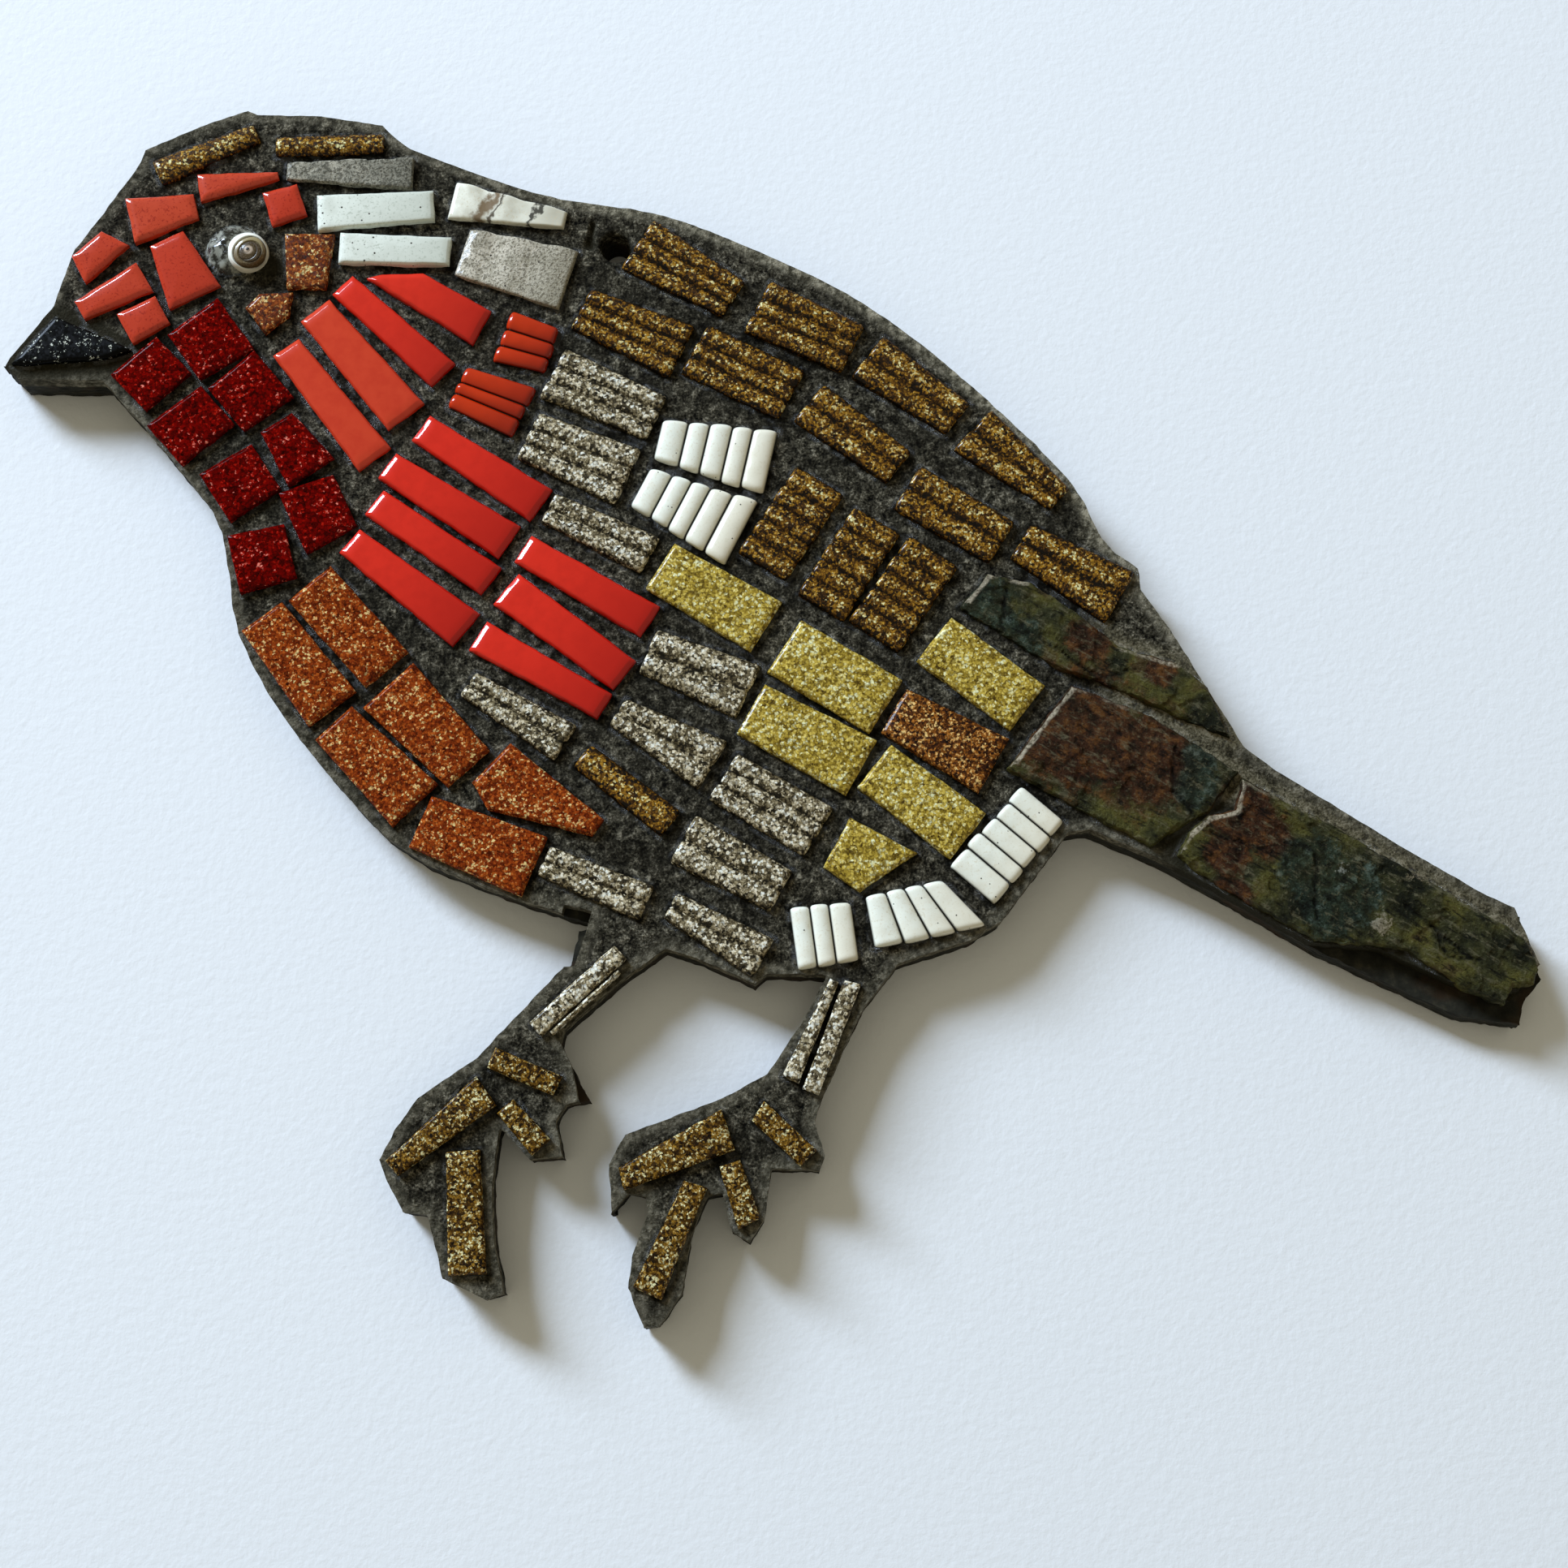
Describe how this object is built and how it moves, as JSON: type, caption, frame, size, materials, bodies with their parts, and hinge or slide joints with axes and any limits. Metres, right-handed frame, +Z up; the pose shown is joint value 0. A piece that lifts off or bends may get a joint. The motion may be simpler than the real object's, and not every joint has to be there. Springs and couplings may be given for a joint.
{
  "type": "mosaic panel",
  "caption": "Bird-shaped mosaic wall plaque: cut slate base, dark sandy grout, glazed and glitter tiles, split slate tail and a shell for the eye, hung from a hole in its back.",
  "frame": {"origin": "middle of the hanging hole, on the flat back face", "axes": "+Z up as it hangs, +X to the viewer's right, -Y out of the wall towards the viewer; the back face lies in the plane Y = 0"},
  "size_m": [0.2517, 0.0125, 0.2255],
  "materials": {
    "slate": "matt sawn and broken slate",
    "grout": "matt sandy cement grout",
    "shell": "polished spiral shell",
    "black_glitter": "black glass glitter tile",
    "bronze_glitter": "ribbed bronze glitter tile",
    "grey_tile": "gritty matt grey tile",
    "white_glaze": "glossy cream white glaze",
    "grey_white_glaze": "speckled grey-white glaze",
    "orange_red_glaze": "glossy orange-red glaze",
    "red_glaze": "glossy red glaze",
    "brown_glitter": "brown glitter tile",
    "dark_red_glitter": "dark red glass glitter tile",
    "silver_glitter": "ribbed silver-grey glitter tile",
    "gold_glitter": "gold glitter tile",
    "dark_copper_glitter": "dark copper glitter tile",
    "copper_glitter": "orange-brown glitter tile",
    "split_slate": "split slate with rusty patches"
  },
  "bodies": {
    "root": {"slate_base": "slate", "grout": "grout", "snail_shell_eye": "shell", "beak_tile": "black_glitter", "crown_tile_1": "bronze_glitter", "crown_tile_2": "bronze_glitter", "nape_tile_grey": "grey_tile", "nape_tile_1": "white_glaze", "nape_tile_2": "white_glaze", "nape_tile_3": "white_glaze", "nape_tile_4": "grey_white_glaze", "red_head_tiles": "orange_red_glaze", "cheek_tiles": "brown_glitter", "throat_tiles": "dark_red_glitter", "chest_strips_upper": "red_glaze", "chest_strips_middle": "red_glaze", "chest_strips_lower": "red_glaze", "shoulder_tiles": "orange_red_glaze", "silver_tile_1": "silver_glitter", "silver_tile_2": "silver_glitter", "silver_tile_3": "silver_glitter", "silver_tile_4": "silver_glitter", "silver_tile_5": "silver_glitter", "silver_tile_6": "silver_glitter", "silver_tile_7": "silver_glitter", "silver_tile_8": "silver_glitter", "silver_tile_9": "silver_glitter", "silver_tile_10": "silver_glitter", "bronze_tile_1": "bronze_glitter", "bronze_tile_2": "bronze_glitter", "bronze_tile_3": "bronze_glitter", "bronze_tile_4": "bronze_glitter", "bronze_tile_5": "bronze_glitter", "bronze_tile_6": "bronze_glitter", "bronze_tile_7": "bronze_glitter", "bronze_tile_8": "bronze_glitter", "bronze_tile_9": "bronze_glitter", "bronze_tile_10": "bronze_glitter", "bronze_tile_11": "bronze_glitter", "bronze_tile_12": "bronze_glitter", "bronze_tile_13": "bronze_glitter", "gold_tile_1": "gold_glitter", "gold_tile_2": "gold_glitter", "gold_tile_3": "gold_glitter", "gold_tile_4": "gold_glitter", "gold_tile_5": "gold_glitter", "gold_tile_6": "gold_glitter", "dark_copper_tile": "dark_copper_glitter", "belly_tiles": "copper_glitter", "white_tile_1": "white_glaze", "white_tile_2": "white_glaze", "white_tile_3": "white_glaze", "white_tile_4": "white_glaze", "white_tile_5": "white_glaze", "tail_slate_1": "split_slate", "tail_slate_2": "split_slate", "tail_slate_3": "split_slate", "left_foot_tiles": "bronze_glitter", "right_foot_tiles": "bronze_glitter"}
  },
  "joints": []
}
